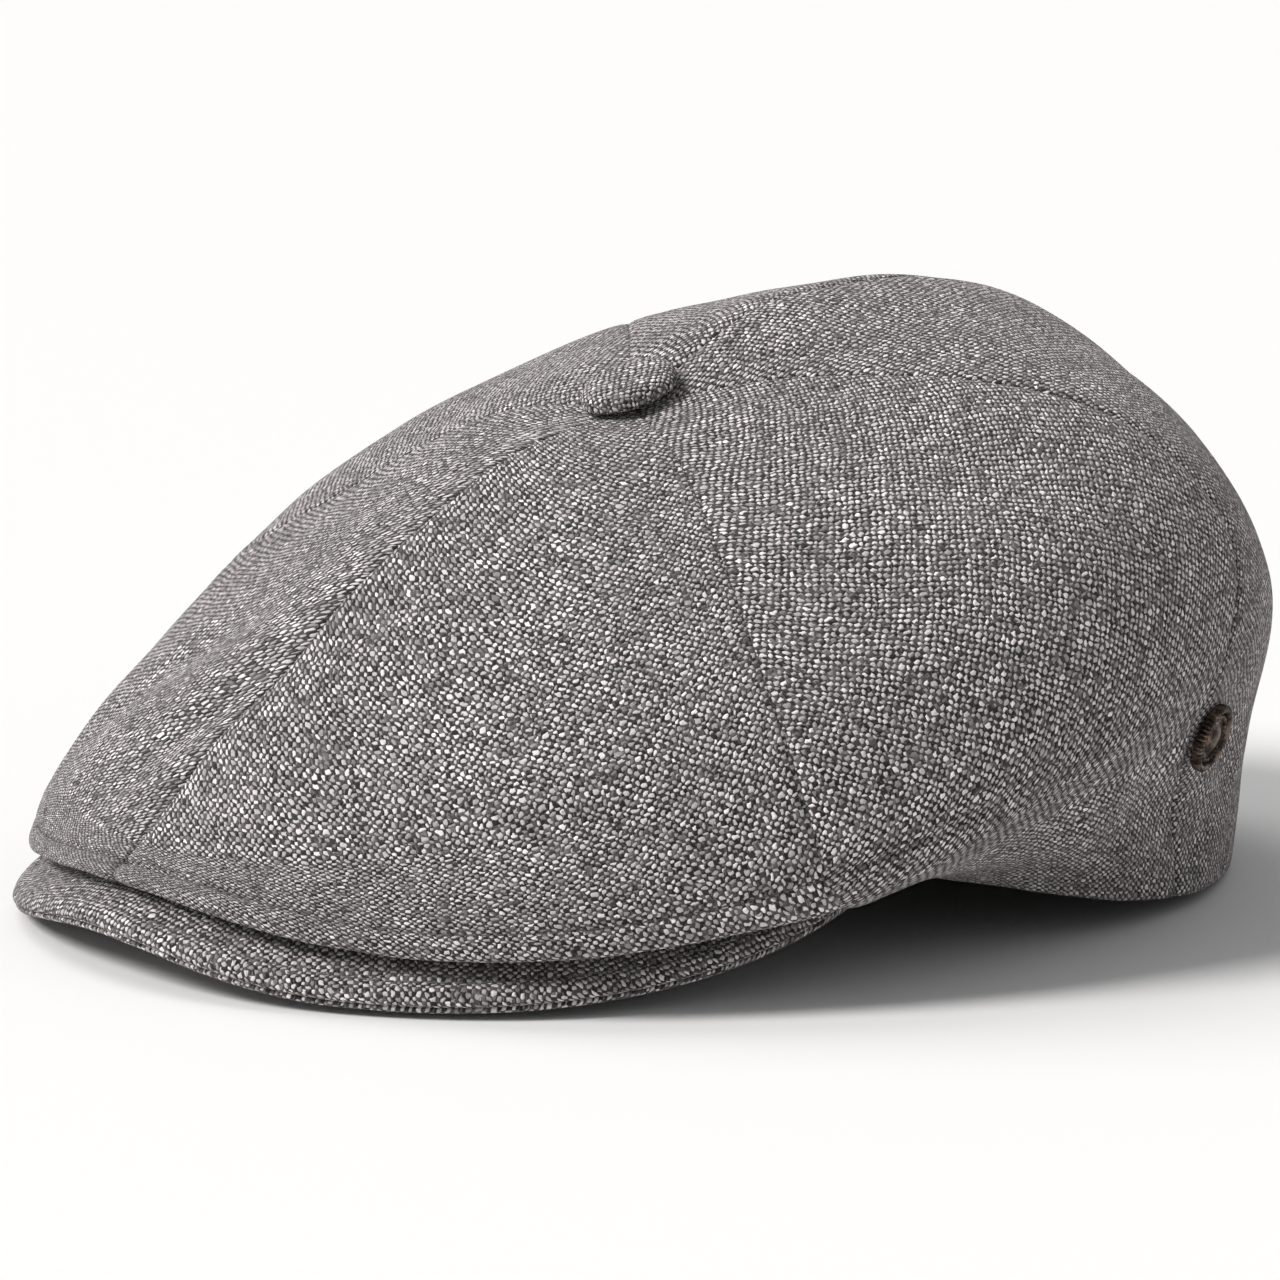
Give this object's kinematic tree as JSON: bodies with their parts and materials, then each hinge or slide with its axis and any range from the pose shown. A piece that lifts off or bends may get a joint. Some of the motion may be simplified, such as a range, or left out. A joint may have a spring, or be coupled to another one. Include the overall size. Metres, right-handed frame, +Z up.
{
  "type": "newsboy cap",
  "caption": "Soft cloth cap with a gored crown pulled forward over a short stiff visor, a covered button on top and a small round badge at the side.",
  "frame": {"origin": "middle of the head opening, on the surface that the cap stands on", "axes": "+Z up; the front and the visor point along -Y; the wearer's left is +X"},
  "size_m": [0.2296, 0.2606, 0.1139],
  "materials": {
    "tweed": "black and white slub tweed, matte",
    "lining_satin": "satin",
    "stay_tape": "woven tape",
    "sweatband": "twill ribbon",
    "inside_label": "satin ribbon, blank",
    "thread": "sewing thread",
    "visor_board": "matte sheet",
    "bronze": "antiqued bronze",
    "steel": "tinned"
  },
  "bodies": {
    "crown": {"crown_panel_front_left": "tweed", "crown_panel_side_left": "tweed", "crown_panel_rear_left": "tweed", "crown_panel_rear_right": "tweed", "crown_panel_side_right": "tweed", "crown_panel_front_right": "tweed", "lining_panel_front_left": "lining_satin", "lining_panel_side_left": "lining_satin", "lining_panel_rear_left": "lining_satin", "lining_panel_rear_right": "lining_satin", "lining_panel_side_right": "lining_satin", "lining_panel_front_right": "lining_satin", "stay_tape": "stay_tape", "sweatband": "sweatband", "inside_label": "inside_label"},
    "visor": {"visor_top_cover": "tweed", "visor_board": "visor_board", "visor_under_cover": "tweed"},
    "button": {"button_cover": "tweed", "button_shell": "steel", "button_back": "steel", "button_shank": "thread"},
    "badge": {"badge_face": "bronze", "badge_rim": "bronze", "badge_post": "bronze", "badge_washer": "steel"}
  },
  "joints": [
    {"name": "visor_flex", "type": "hinge", "parent": "crown", "child": "visor", "pos_m": [0, -0.04012, 0.01492], "axis": [1, 0, 0], "range_deg": [0, 6], "stiffness_Nm_per_rad": 2},
    {"name": "button_twist", "type": "hinge", "parent": "crown", "child": "button", "pos_m": [0, -0.0345, 0.096], "axis": [0, -0.3746, 0.9272], "range_deg": [-15, 15], "stiffness_Nm_per_rad": 0.01},
    {"name": "badge_turn", "type": "hinge", "parent": "crown", "child": "badge", "pos_m": [0.10373, 0.02122, 0.039], "axis": [0.8671, 0.3934, -0.3057], "continuous": true}
  ]
}
